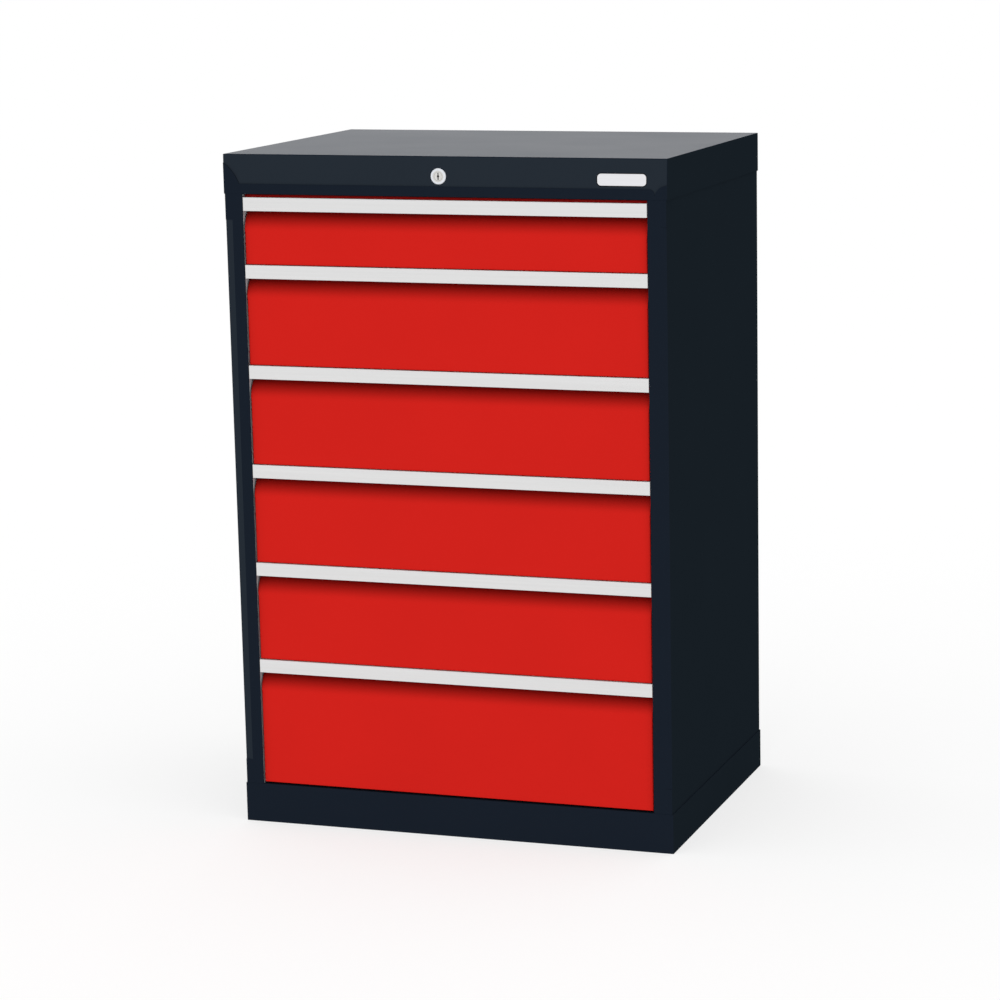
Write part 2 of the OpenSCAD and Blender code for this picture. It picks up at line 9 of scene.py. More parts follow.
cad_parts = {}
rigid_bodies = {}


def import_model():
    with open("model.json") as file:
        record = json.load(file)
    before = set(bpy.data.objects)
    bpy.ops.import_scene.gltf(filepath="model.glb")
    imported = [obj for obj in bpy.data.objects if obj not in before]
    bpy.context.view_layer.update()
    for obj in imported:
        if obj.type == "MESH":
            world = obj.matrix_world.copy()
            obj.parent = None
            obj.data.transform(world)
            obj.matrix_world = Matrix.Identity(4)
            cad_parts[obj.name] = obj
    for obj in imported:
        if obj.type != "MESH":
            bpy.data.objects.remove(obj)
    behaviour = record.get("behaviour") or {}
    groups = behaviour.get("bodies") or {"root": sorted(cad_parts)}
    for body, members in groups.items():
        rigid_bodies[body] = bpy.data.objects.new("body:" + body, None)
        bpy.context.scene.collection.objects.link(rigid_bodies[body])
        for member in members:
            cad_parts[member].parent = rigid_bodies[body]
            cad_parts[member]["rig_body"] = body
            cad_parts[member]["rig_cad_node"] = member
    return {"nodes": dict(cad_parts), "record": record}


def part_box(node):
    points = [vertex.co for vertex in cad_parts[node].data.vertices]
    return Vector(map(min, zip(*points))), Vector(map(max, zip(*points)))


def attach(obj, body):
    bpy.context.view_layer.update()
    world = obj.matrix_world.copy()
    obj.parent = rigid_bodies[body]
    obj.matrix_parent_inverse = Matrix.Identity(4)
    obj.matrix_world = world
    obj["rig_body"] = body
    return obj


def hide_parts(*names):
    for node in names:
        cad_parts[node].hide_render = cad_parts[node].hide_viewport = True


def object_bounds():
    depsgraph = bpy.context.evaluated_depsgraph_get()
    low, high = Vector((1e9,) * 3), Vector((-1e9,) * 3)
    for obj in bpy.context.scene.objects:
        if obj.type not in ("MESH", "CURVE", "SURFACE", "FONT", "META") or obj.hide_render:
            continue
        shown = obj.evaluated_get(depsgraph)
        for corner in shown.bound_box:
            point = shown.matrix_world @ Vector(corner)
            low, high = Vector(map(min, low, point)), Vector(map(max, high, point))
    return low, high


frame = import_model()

bl_info = {
    "name": "Drawer cabinet",
    "version": (1, 0, 0),
    "blender": (4, 5, 0),
    "location": "View3D > Sidebar > Cabinet",
    "description": "Finishes a workshop drawer cabinet around its packed CAD frame",
    "category": "Object",
}

CAD_BOX = [list(corner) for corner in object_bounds()]
DRAWERS = range(1, 7)
BODY = {
    node: body
    for body, nodes in frame["record"]["behaviour"]["bodies"].items()
    for node in nodes
}

# Lengths that count as none: between the points of a copied mesh, and between a point and a face
MERGE = 0.000001
TOUCH = 0.00005

# Angles between faces, in degrees
FLAT_ANGLE = 0.3
SHARP_ANGLE = 40
FOLD_ANGLE = 60
SMOOTH_ANGLE = 32
PANEL_SMOOTH_ANGLE = 20

# A fold's two faces are wider than this, which a sheet's cut edge is not
COVER_FACE = 0.0042
UPRIGHT_FACE = 0.0032
SHEET_FACE = 0.0024
GRIP_FACE = 0.0018

# A fold is longer than this
SHEET_FOLD = 0.03
CHANNEL_FOLD = 0.1
GRIP_FOLD = 0.55

# Share of a face's normal along an axis from which it looks that way
FACING = 0.9

# Shares of the normals of the fascia's pressed face (Z), the left post's bevel (X) and a recess (Y, X, Z),
# which pick the faces for painted highlights and painted shade
PRESSED_TILT = (0.02, 0.1)
BEVEL_TILT = (-0.2, -0.05)
RECESS_FACING = 0.3
RECESS_ASIDE = 0.1
RECESS_TILT = 0.01

# Depth within which a face counts as the top, and width of the seat round the plate that is painted dark
# as shade
TOP_DEPTH = 0.001
PLATE_SEAT = 0.002

# Key slot, painted dark as shade: start behind the barrel's face, end behind its middle, and reach from
# its axis
SLOT_START = 0.0004
SLOT_END = 0.003
SLOT_REACH = 0.0055

# Painted shade in a front's coat, at its two ends and in its recess: how light it leaves the coat, and
# length over which it fades
END_SHADE_LEVEL = 0.75
END_SHADE_FADE = 0.004
RECESS_SHADE_LEVEL = 0.42
RECESS_SHADE_FADE = 0.0033

# Most values of a noise texture lie between these
NOISE_LOW = 0.3
NOISE_HIGH = 0.7

# Height of a powder coat's specks, as a share of its orange peel
SPECK_HEIGHT = 0.3


# Properties


def linear(*display):
    """Scene colour of display values from 0 to 255."""
    return tuple(Color([value / 255 for value in display]).from_srgb_to_scene_linear())


def colour(name, description, *display):
    return FloatVectorProperty(
        name=name, description=description, subtype="COLOR", size=3, min=0, max=1,
        default=linear(*display),
    )


def length(name, description, metres):
    return FloatProperty(
        name=name, description=description, subtype="DISTANCE", unit="LENGTH", min=0, precision=5,
        default=metres,
    )


def point(name, description, *metres):
    return FloatVectorProperty(
        name=name, description=description, subtype="XYZ_LENGTH", unit="LENGTH", size=3,
        default=metres,
    )


def angle(name, description, degrees):
    return FloatProperty(
        name=name, description=description, subtype="ANGLE", unit="ROTATION",
        default=math.radians(degrees),
    )


def power(name, description, watts):
    return FloatProperty(
        name=name, description=description, subtype="POWER", unit="POWER", min=0,
        default=watts,
    )


def share(name, description, value):
    return FloatProperty(
        name=name, description=description, subtype="FACTOR", min=0, max=1,
        default=value,
    )


class CabinetColours(bpy.types.PropertyGroup):
    """Colours of the cabinet's finishes"""

    slate: colour("Housing", "Powder coat of the housing", 25, 32, 42)
    # Painted shade: the sides are the housing's coat, a little darker and less blue for how the light
    # falls on them
    side: colour("Sides", "Powder coat of the housing's two sides", 23, 30, 36)
    # Painted light: the top is the housing's coat, painted lighter and bluer for the light it catches from
    # above
    top: colour("Top", "Powder coat of the cover's top", 29, 42, 59)
    # Painted highlight: the fascia's pressed face and the left post's bevel are the housing's coat,
    # painted lighter as if catching the light
    pressed: colour("Pressed faces", "Powder coat where a face is pressed or bevelled", 37, 44, 52)
    red: colour("Fronts", "Powder coat of the drawer fronts", 206, 33, 27)
    grey: colour("Inside", "Powder coat of the trays and uprights", 196, 199, 202)
    aluminium: colour("Grips", "Brushed and anodised aluminium of the grips", 221, 221, 221)
    zinc: colour("Hardware", "Zinc plate of the slides, screws and lock bars", 176, 180, 184)
    chrome: colour("Lock ring", "Polished metal of the lock's rim", 226, 229, 235)
    plug: colour("Lock plug", "Satin metal of the lock's barrel", 214, 213, 210)
    plate: colour("Plate", "Satin metal of the bare plate", 228, 228, 231)
    # Painted shade: the plate's seat and the inside of the key slot
    shade: colour("Shade", "Dark seat of the plate and inside of the key slot", 12, 13, 15)
    floor: colour("Floor", "Studio floor", 160, 160, 160)


class CabinetSizes(bpy.types.PropertyGroup):
    """Edge radii and small details of the cabinet"""

    cover_radius: length("Cover folds", "Radius of the folds of the cover", 0.0014)
    front_radius: length("Front folds", "Radius of the folds of a drawer front", 0.0014)
    upright_radius: length("Upright folds", "Radius of the folds of an upright", 0.0008)
    slide_radius: length("Slide folds", "Radius of the folds of a slide channel", 0.0006)
    grip_radius: length("Grip edges", "Radius of a grip's long edges", 0.0005)
    sheet_radius: length("Sheet edges", "Radius of the edges of sides, base and trays", 0.0004)
    plate_radius: length("Plate edges", "Radius of the plate's edges", 0.0003)
    edge_radius: length("Other edges", "Radius of the edges of back, floor and hardware", 0.0002)
    barrel_radius: length("Barrel edges", "Radius of the edges of the lock's barrel", 0.00015)
    ring_radius: length("Ring edges", "Radius of the edges of the lock's ring", 0.0001)
    rim_inside: length("Lock rim", "Inner radius of the rim on the lock's ring", 0.0085)
    rim_height: length("Rim height", "Height of the rim on the lock's ring", 0.0003)
    socket_across: length("Screw sockets", "Width across the flats of a screw's socket", 0.0025)
    socket_depth: length("Socket depth", "Depth of a screw's socket", 0.0013)


class CabinetStage(bpy.types.PropertyGroup):
    """Studio and camera"""

    camera_place: point("Camera", "Place of the camera", 1.5980, -4.4841, 1.3758)
    azimuth: angle("Azimuth", "Turn of the camera from straight ahead", 17.853)
    elevation: angle("Elevation", "Tilt of the camera below the horizon", 11.549)
    roll: angle("Roll", "Roll of the camera", -0.838)
    lens: FloatProperty(
        name="Lens", description="Focal length of the camera", subtype="DISTANCE_CAMERA",
        unit="CAMERA", default=112.60,
    )
    sensor: FloatProperty(
        name="Sensor", description="Width of the camera's sensor", subtype="DISTANCE_CAMERA",
        unit="CAMERA", default=36,
    )
    shift: FloatVectorProperty(
        name="Shift", description="Shift of the lens across the picture, in picture widths", size=2,
        default=(-0.10, 0.04),
    )
    key_place: point("Key light", "Place of the soft light at the front left", -3.0, -8.0, 5.0)
    key_aim: point("Key aim", "Point that the key light looks at", 0, -0.2, 0.55)
    key_size: length("Key size", "Diameter of the key light", 4.5)
    key_power: power("Key power", "Power of the key light", 25)
    fill_place: point("Fill light", "Place of the soft light at the right", 7.5, -2.4, 5.0)
    fill_aim: point("Fill aim", "Point that the fill light looks at", 0, 0, 0.55)
    fill_size: length("Fill size", "Diameter of the fill light", 5.0)
    fill_power: power("Fill power", "Power of the fill light", 10)
    world_light: share("World light", "Strength of the white surroundings", 1.0)
    floor_size: length("Floor size", "Width of the studio floor", 100)
    floor_glow: share("Floor glow", "Light that the floor gives off, as a lit studio table does", 0.65)


GROUPS = {
    "cabinet_colours": CabinetColours,
    "cabinet_sizes": CabinetSizes,
    "cabinet_stage": CabinetStage,
}


# Materials


class Nodes:
    """Short way to fill a node tree: each call adds nodes and links or sets their inputs"""

    def __init__(self, tree):
        self.tree = tree

    def add(self, kind, inputs=None, **settings):
        made = self.tree.nodes.new(kind)
        for name, value in settings.items():
            setattr(made, name, value)
        for socket, value in (inputs or {}).items():
            if isinstance(value, bpy.types.NodeSocket):
                self.tree.links.new(value, made.inputs[socket])
            else:
                made.inputs[socket].default_value = value
        return made

    def maths(self, operation, first, second=0.0):
        return self.add("ShaderNodeMath", {0: first, 1: second}, operation=operation).outputs[0]

    def ranged(self, value, low, high):
        """Value that goes from low to high as a noise does."""
        inputs = {
            "Value": value, "From Min": NOISE_LOW, "From Max": NOISE_HIGH, "To Min": low, "To Max": high,
        }
        return self.add("ShaderNodeMapRange", inputs).outputs[0]

    def shaded(self, colour_in, level):
        inputs = {0: colour_in, "Scale": level}
        return self.add("ShaderNodeVectorMath", inputs, operation="SCALE").outputs[0]

    def place(self, scale=(1, 1, 1)):
        inputs = {"Vector": self.add("ShaderNodeTexCoord").outputs["Object"], "Scale": scale}
        return self.add("ShaderNodeMapping", inputs).outputs[0]

    def along(self, axis):
        return self.add("ShaderNodeSeparateXYZ", {0: self.place()}).outputs[axis]

    def faded(self, distance, near, far, reach):
        """Value that goes from near to far with distance, within about three times the reach."""
        left = self.maths("EXPONENT", self.maths("DIVIDE", distance, -reach))
        return self.maths("ADD", far, self.maths("MULTIPLY", left, near - far))

    def noise(self, place, scale=1, detail=2):
        inputs = {"Vector": place, "Scale": scale, "Detail": detail}
        return self.add("ShaderNodeTexNoise", inputs).outputs["Fac"]

    def bump(self, height, strength, distance):
        inputs = {"Height": height, "Strength": strength, "Distance": distance}
        return self.add("ShaderNodeBump", inputs).outputs[0]


def finish_group(name, fill):
    """Node group that turns a colour and a roughness into those of a finish, with its normal."""
    tree = bpy.data.node_groups.new(name, "ShaderNodeTree")
    tree.interface.new_socket("Colour", in_out="INPUT", socket_type="NodeSocketColor")
    tree.interface.new_socket("Roughness", in_out="INPUT", socket_type="NodeSocketFloat")
    tree.interface.new_socket("Colour", in_out="OUTPUT", socket_type="NodeSocketColor")
    tree.interface.new_socket("Roughness", in_out="OUTPUT", socket_type="NodeSocketFloat")
    tree.interface.new_socket("Normal", in_out="OUTPUT", socket_type="NodeSocketVector")
    nodes = Nodes(tree)
    source = nodes.add("NodeGroupInput")
    made = fill(nodes, source.outputs["Colour"], source.outputs["Roughness"])
    nodes.add("NodeGroupOutput", dict(zip(("Colour", "Roughness", "Normal"), made)))
    return tree


def powder_coat(nodes, colour_in, roughness):
    """Fine orange peel, faint clouding and fine specks of the colour."""
    place = nodes.place()
    peel = nodes.noise(place, scale=620)
    cloud = nodes.noise(place, scale=7, detail=3)
    speck = nodes.noise(place, scale=2600, detail=1)
    clouding = nodes.ranged(cloud, low=0.985, high=1.015)
    level = nodes.maths("ADD", clouding, nodes.ranged(speck, low=-0.03, high=0.03))
    rough = nodes.maths("ADD", roughness, nodes.ranged(cloud, low=-0.01, high=0.01))
    height = nodes.maths("ADD", peel, nodes.maths("MULTIPLY", speck, SPECK_HEIGHT))
    return nodes.shaded(colour_in, level), rough, nodes.bump(height, strength=0.08, distance=0.0001)


def front_coat_end_shade(nodes, colour_in, roughness):
    """Powder coat with painted shade that makes it a little darker towards the two ends of a drawer front.
    """
    shade, rough, normal = powder_coat(nodes, colour_in, roughness)
    from_middle = nodes.maths("ABSOLUTE", nodes.along("X"))
    from_end = nodes.maths("SUBTRACT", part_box("front_1")[1].x, from_middle)
    level = nodes.faded(from_end, near=END_SHADE_LEVEL, far=1, reach=END_SHADE_FADE)
    return nodes.shaded(shade, level), rough, normal


def recess_shaded_coat(nodes, colour_in, roughness):
    """Coat of a front with painted shade that darkens it towards the back of the finger recess."""
    shade, rough, normal = front_coat_end_shade(nodes, colour_in, roughness)
    depth = nodes.maths("SUBTRACT", nodes.along("Y"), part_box("front_1")[0].y)
    level = nodes.faded(depth, near=1, far=RECESS_SHADE_LEVEL, reach=RECESS_SHADE_FADE)
    return nodes.shaded(shade, level), rough, normal


def brushed(nodes, colour_in, roughness):
    """Fine lines along X, as left by brushing before anodising."""
    fine = nodes.noise(nodes.place(scale=(6, 2400, 2400)), detail=3)
    broad = nodes.noise(nodes.place(scale=(2, 260, 260)))
    lines = nodes.ranged(fine, low=0.965, high=1.02)
    level = nodes.maths("ADD", lines, nodes.ranged(broad, low=-0.02, high=0.015))
    rough = nodes.maths("ADD", roughness, nodes.ranged(fine, low=-0.05, high=0.06))
    return nodes.shaded(colour_in, level), rough, nodes.bump(fine, strength=0.05, distance=0.00005)


def zinc_plate(nodes, colour_in, roughness):
    """Bright zinc: faint crystal patches and rolling lines along Y."""
    crystals = {"Vector": nodes.place(), "Scale": 210}
    patches = nodes.add("ShaderNodeTexVoronoi", crystals).outputs["Distance"]
    lines = nodes.noise(nodes.place(scale=(900, 9, 900)))
    patching = nodes.ranged(patches, low=0.95, high=1.0)
    level = nodes.maths("ADD", patching, nodes.ranged(lines, low=-0.05, high=0.04))
    rough = nodes.maths("ADD", roughness, nodes.ranged(patches, low=-0.06, high=0.06))
    return nodes.shaded(colour_in, level), rough, nodes.bump(lines, strength=0.05, distance=0.00005)


def polish(nodes, colour_in, roughness):
    """Polished metal with hair scratches and faint smears."""
    smear = nodes.noise(nodes.place(), scale=160, detail=3)
    hair = nodes.noise(nodes.place(scale=(5200, 5200, 240)))
    smearing = nodes.ranged(smear, low=0.97, high=1.0)
    level = nodes.maths("ADD", smearing, nodes.ranged(hair, low=-0.02, high=0.02))
    rough = nodes.maths("ADD", roughness, nodes.ranged(smear, low=-0.04, high=0.06))
    return nodes.shaded(colour_in, level), rough, nodes.bump(hair, strength=0.03, distance=0.00003)


def finish(name, group, shade, roughness, metallic=0.0, specular=0.5):
    """Material whose colour, roughness and normal come from a shared group."""
    material = bpy.data.materials.new(name)
    material.use_nodes = True
    material.diffuse_color = (*shade, 1.0)
    inputs = {"Colour": (*shade, 1.0), "Roughness": roughness}
    surface = Nodes(material.node_tree).add("ShaderNodeGroup", inputs, node_tree=group)
    shader = material.node_tree.nodes["Principled BSDF"]
    for output, socket in (("Colour", "Base Color"), ("Roughness", "Roughness"), ("Normal", "Normal")):
        material.node_tree.links.new(surface.outputs[output], shader.inputs[socket])
    shader.inputs["Metallic"].default_value = metallic
    shader.inputs["Specular IOR Level"].default_value = specular


# Modelling


def pick(piece):
    """Select one object alone and make it active."""
    bpy.ops.object.select_all(action="DESELECT")
    piece.select_set(True)
    bpy.context.view_layer.objects.active = piece


def copied(node, name):
    """Own copy of a CAD node's mesh, with its triangles joined into whole faces."""
    pick(frame["nodes"][node])
    bpy.ops.object.duplicate()
    piece = bpy.context.active_object
    piece.name = name
    piece.data.name = name
    piece.parent = None
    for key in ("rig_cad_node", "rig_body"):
        del piece[key]
    bpy.ops.object.mode_set(mode="EDIT")
    bpy.ops.mesh.select_all(action="SELECT")
    bpy.ops.mesh.remove_doubles(threshold=MERGE)
    bpy.ops.mesh.customdata_custom_splitnormals_clear()
    bpy.ops.mesh.dissolve_limited(angle_limit=math.radians(FLAT_ANGLE))
    bpy.ops.mesh.normals_make_consistent(inside=False)
    bpy.ops.object.mode_set(mode="OBJECT")
    return piece


def rounded(piece, radius, segments, wanted):
    """Bevel the edges that the test picks."""
    pick(piece)
    bpy.ops.object.mode_set(mode="EDIT")
    bpy.ops.mesh.select_mode(type="EDGE")
    bpy.ops.mesh.select_all(action="DESELECT")
    mesh = bmesh.from_edit_mesh(piece.data)
    for edge in mesh.edges:
        edge.select_set(wanted(edge))
    bmesh.update_edit_mesh(piece.data)
    bpy.ops.mesh.bevel(offset=radius, segments=segments, clamp_overlap=True)
    bpy.ops.object.mode_set(mode="OBJECT")


def broken(piece, radius):
    """Break all sharp edges with a small applied bevel."""
    pick(piece)
    bpy.ops.object.modifier_add(type="BEVEL")
    bevel = piece.modifiers[-1]
    bevel.width = radius
    bevel.segments = 2
    bevel.limit_method = "ANGLE"
    bevel.angle_limit = math.radians(SHARP_ANGLE)
    bpy.ops.object.modifier_apply(modifier=bevel.name)


def pocketed(piece, mouth, sides, radius, depth):
    """Cut a round or many-sided pocket along Y into a piece, from a point on its face."""
    bpy.ops.object.select_all(action="DESELECT")
    bpy.ops.mesh.primitive_cylinder_add(
        vertices=sides, radius=radius, depth=2 * depth, location=mouth, rotation=(math.pi / 2, 0, 0)
    )
    cutter = bpy.context.active_object
    pick(piece)
    bpy.ops.object.modifier_add(type="BOOLEAN")
    cut = piece.modifiers[-1]
    cut.operation = "DIFFERENCE"
    cut.object = cutter
    bpy.ops.object.modifier_apply(modifier=cut.name)
    bpy.data.objects.remove(cutter)


def smooth(piece, degrees=SMOOTH_ANGLE):
    """Smooth shading across rounded edges that keeps the large faces flat."""
    pick(piece)
    bpy.ops.object.shade_smooth_by_angle(angle=math.radians(degrees))
    bpy.ops.object.modifier_add(type="WEIGHTED_NORMAL")
    weighted = piece.modifiers[-1]
    weighted.keep_sharp = True
    weighted.weight = 100
    bpy.ops.object.modifier_apply(modifier=weighted.name)


def breadth(face, edge):
    """How far a face reaches from an edge, on average."""
    return face.calc_area() / edge.calc_length()


def is_fold(edge, wide, long):
    """True for a long edge between two wide faces at a steep angle."""
    if len(edge.link_faces) != 2 or edge.calc_length() < long:
        return False
    steep = edge.calc_face_angle() > math.radians(FOLD_ANGLE)
    return steep and all(breadth(face, edge) > wide for face in edge.link_faces)


def dressed(piece, node, slot, *finishes):
    """Give a piece its finishes and body, and let it stand for its node."""
    piece.data.materials.clear()
    for name in finishes:
        piece.data.materials.append(bpy.data.materials[name])
    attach(piece, BODY[node])
    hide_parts(node)


def paint(piece, name, wanted):
    """Give one of a piece's finishes to the faces that the test picks by normal and centre."""
    index = piece.data.materials.find(name)
    for face in piece.data.polygons:
        if wanted(face.normal, face.center):
            face.material_index = index


def faces_sideways(normal, _):
    """True for a face that looks straight to the left or right."""
    return abs(normal.x) > FACING


def faces_front(normal):
    """True for a face that looks to the front."""
    return normal.y < -FACING


def between(value, limits):
    """True for a value inside its two limits."""
    low, high = limits
    return low < value < high


def within(spot, box, margin):
    """True for a spot inside a box that is grown by a margin."""
    low, high = box
    return all(low[axis] - margin < spot[axis] < high[axis] + margin for axis in range(3))


# Operators


class CABINET_OT_materials(bpy.types.Operator):
    """Make the shared finishes"""

    bl_idname = "cabinet.materials"
    bl_label = "Finishes"
    bl_options = {"REGISTER", "UNDO"}

    def execute(self, context):
        colours = context.scene.cabinet_colours
        coat = finish_group("powder_coat", powder_coat)
        metal = finish_group("brushed", brushed)
        zinc = finish_group("zinc_plate", zinc_plate)
        bright = finish_group("polish", polish)
        front = finish_group("front_coat_end_shade", front_coat_end_shade)
        recess = finish_group("recess_shaded_coat", recess_shaded_coat)
        finish("slate_coat", coat, colours.slate, roughness=0.6, specular=0.0)
        # The housing's coat with painted shade on its sides
        finish("slate_side_shade", coat, colours.side, roughness=0.6, specular=0.0)
        # The housing's coat with a painted highlight on pressed and bevelled faces
        finish("slate_pressed_lit", coat, colours.pressed, roughness=0.6, specular=0.0)
        # The housing's coat with painted light on the top, and a glossier surface
        finish("slate_top_lit", coat, colours.top, roughness=0.3, specular=0.0414)
        # Red coat of the fronts, with painted shade towards their two ends
        finish("red_coat_end_shade", front, colours.red, roughness=0.5, specular=0.01)
        # Finger recess and the strip above the grip's rail: painted shade towards the back
        finish("red_recess_shade", recess, colours.red, roughness=0.5, specular=0.01)
        finish("grey_coat", coat, colours.grey, roughness=0.45, specular=0.3)
        finish("aluminium", metal, colours.aluminium, roughness=0.42, metallic=0.15, specular=0.2)
        finish("zinc", zinc, colours.zinc, roughness=0.34, metallic=1.0)
        finish("chrome", bright, colours.chrome, roughness=0.36, metallic=0.5)
        finish("plug", bright, colours.plug, roughness=0.42, metallic=0.4)
        finish("plate", metal, colours.plate, roughness=0.42, metallic=0.6)
        # Painted shade in the plate's seat
        finish("seat_shade", coat, colours.shade, roughness=0.8, specular=0.0)
        # Painted shade inside the key slot
        finish("key_slot_shade", bright, colours.shade, roughness=0.6, metallic=0.4, specular=0.1)
        return {"FINISHED"}


class CABINET_OT_housing(bpy.types.Operator):
    """Cover, side, back and floor panels with rounded folds and pressed faces"""

    bl_idname = "cabinet.housing"
    bl_label = "Housing"
    bl_options = {"REGISTER", "UNDO"}

    def execute(self, context):
        sizes = context.scene.cabinet_sizes
        self.cover(sizes)
        for node in ("side_panel_left", "side_panel_right"):
            panel = copied(node, node + "_sheet")
            broken(panel, sizes.sheet_radius)
            dressed(panel, node, "housing_slate", "slate_coat", "slate_pressed_lit", "slate_side_shade")
            # Painted shade on the faces that look left or right
            paint(panel, "slate_side_shade", faces_sideways)
            # Painted highlight on the left post's bevel
            paint(panel, "slate_pressed_lit", self.is_bevel)
            smooth(panel, PANEL_SMOOTH_ANGLE)
        for node in ("back_panel", "floor_panel"):
            panel = copied(node, node + "_sheet")
            broken(panel, sizes.edge_radius)
            dressed(panel, node, "housing_slate", "slate_coat")
            smooth(panel)
        return {"FINISHED"}

    def cover(self, sizes):
        """Cover whose top, pressed face, ends and plate seat have finishes of their own: painted light on
        the top and the pressed face, painted shade on the ends and in the plate's seat.
        """
        cover = copied("top_cover", "cover_sheet")
        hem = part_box("top_cover")[0].z + sizes.cover_radius
        rounded(
            cover, sizes.cover_radius, segments=3,
            wanted=lambda edge: self.is_cover_fold(edge, hem),
        )
        finishes = ("slate_coat", "slate_pressed_lit", "slate_top_lit", "seat_shade", "slate_side_shade")
        dressed(cover, "top_cover", "housing_slate", *finishes)
        # Painted shade on the faces that look left or right
        paint(cover, "slate_side_shade", faces_sideways)
        # Painted light on the top
        paint(cover, "slate_top_lit", self.is_top)
        # Painted highlight on the pressed face
        paint(cover, "slate_pressed_lit", self.is_pressed)
        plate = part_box("name_plate")
        # Painted shade in the seat round the plate
        paint(cover, "seat_shade", lambda _, centre: within(centre, plate, PLATE_SEAT))
        smooth(cover)

    def is_cover_fold(self, edge, hem):
        """True for a fold of the cover that isn't all along its hem."""
        above = max(vertex.co.z for vertex in edge.verts) > hem
        return above and is_fold(edge, COVER_FACE, SHEET_FOLD)

    def is_top(self, normal, centre):
        """True for a face of the cabinet's top, which gets painted light."""
        return normal.z > FACING and centre.z > CAD_BOX[1][2] - TOP_DEPTH

    def is_pressed(self, normal, _):
        """True for the fascia's pressed face, which leans back a little and gets a painted highlight."""
        return faces_front(normal) and between(normal.z, PRESSED_TILT)

    def is_bevel(self, normal, _):
        """True for the bevel on the left post, which gets a painted highlight."""
        return faces_front(normal) and between(normal.x, BEVEL_TILT)


class CABINET_OT_base(bpy.types.Operator):
    """Base channels with eased edges"""

    bl_idname = "cabinet.base"
    bl_label = "Base"
    bl_options = {"REGISTER", "UNDO"}

    def execute(self, context):
        sizes = context.scene.cabinet_sizes
        for side in ("front", "back", "left", "right"):
            node = "base_" + side
            channel = copied(node, node + "_channel")
            broken(channel, sizes.sheet_radius)
            dressed(channel, node, "housing_slate", "slate_coat", "slate_side_shade")
            # Painted shade on the faces that look left or right
            paint(channel, "slate_side_shade", faces_sideways)
            smooth(channel)
        return {"FINISHED"}


class CABINET_OT_uprights(bpy.types.Operator):
    """Slotted columns"""

    bl_idname = "cabinet.uprights"
    bl_label = "Uprights"
    bl_options = {"REGISTER", "UNDO"}

    def execute(self, context):
        sizes = context.scene.cabinet_sizes
        for end in ("front", "rear"):
            for side in ("left", "right"):
                node = f"upright_{end}_{side}"
                column = copied(node, node + "_column")
                rounded(
                    column, sizes.upright_radius, segments=2,
                    wanted=lambda edge: is_fold(edge, UPRIGHT_FACE, CHANNEL_FOLD),
                )
                dressed(column, node, "inner_grey", "grey_coat")
                smooth(column)
        return {"FINISHED"}


class CABINET_OT_slides(bpy.types.Operator):
    """Telescopic slide channels"""

    bl_idname = "cabinet.slides"
    bl_label = "Slides"
    bl_options = {"REGISTER", "UNDO"}

    def execute(self, context):
        sizes = context.scene.cabinet_sizes
        nodes = ["slide_outers_left", "slide_outers_right"]
        nodes += [f"{kind}_{n}" for kind in ("slide_mid", "runners") for n in DRAWERS]
        for node in nodes:
            channel = copied(node, node + "_channels")
            rounded(
                channel, sizes.slide_radius, segments=2,
                wanted=lambda edge: is_fold(edge, SHEET_FACE, CHANNEL_FOLD),
            )
            dressed(channel, node, "zinc_steel", "zinc")
            smooth(channel)
        return {"FINISHED"}


class CABINET_OT_trays(bpy.types.Operator):
    """Folded trays"""

    bl_idname = "cabinet.trays"
    bl_label = "Trays"
    bl_options = {"REGISTER", "UNDO"}

    def execute(self, context):
        sizes = context.scene.cabinet_sizes
        for n in DRAWERS:
            node = f"tray_{n}"
            tray = copied(node, node + "_sheet")
            broken(tray, sizes.sheet_radius)
            dressed(tray, node, "inner_grey", "grey_coat")
            smooth(tray)
        return {"FINISHED"}


class CABINET_OT_fronts(bpy.types.Operator):
    """Red drawer fronts with rounded folds round the finger recess"""

    bl_idname = "cabinet.fronts"
    bl_label = "Fronts"
    bl_options = {"REGISTER", "UNDO"}

    def execute(self, context):
        sizes = context.scene.cabinet_sizes
        for n in DRAWERS:
            node = f"front_{n}"
            front = copied(node, node + "_sheet")
            low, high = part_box(node)
            self.part_ends(front, low.y)
            middle = (low.y + high.y) / 2
            rounded(
                front, sizes.front_radius, segments=4,
                wanted=lambda edge: self.shows(edge, middle),
            )
            dressed(front, node, "front_red", "red_coat_end_shade", "red_recess_shade")
            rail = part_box(f"grip_{n}")[1].z
            # Painted shade in the finger recess and on the strip above the grip's rail
            paint(front, "red_recess_shade", lambda normal, centre: self.in_recess(normal, centre, rail))
            smooth(front)
        return {"FINISHED"}

    def part_ends(self, front, face):
        """Part each end where the recess begins, so that the fold beside the main face stops there."""
        recess = max(vertex.co.z for vertex in front.data.vertices if vertex.co.y < face + TOUCH)
        bpy.ops.object.mode_set(mode="EDIT")
        bpy.ops.mesh.select_all(action="SELECT")
        bpy.ops.mesh.remove_doubles(threshold=TOUCH)
        bpy.ops.mesh.bisect(plane_co=(0, 0, recess), plane_no=(0, 0, 1), threshold=TOUCH)
        bpy.ops.object.mode_set(mode="OBJECT")

    def shows(self, edge, middle):
        """True for an outer fold on the front's visible side."""
        outside = edge.is_convex and max(vertex.co.y for vertex in edge.verts) < middle
        return outside and is_fold(edge, SHEET_FACE, SHEET_FOLD)

    def in_recess(self, normal, centre, rail):
        """True for a face of the finger recess, or of the strip above the grip's rail, which get painted
        shade.
        """
        outward = normal.y < -RECESS_FACING and abs(normal.x) < RECESS_ASIDE
        return outward and (normal.z > RECESS_TILT or centre.z > rail)


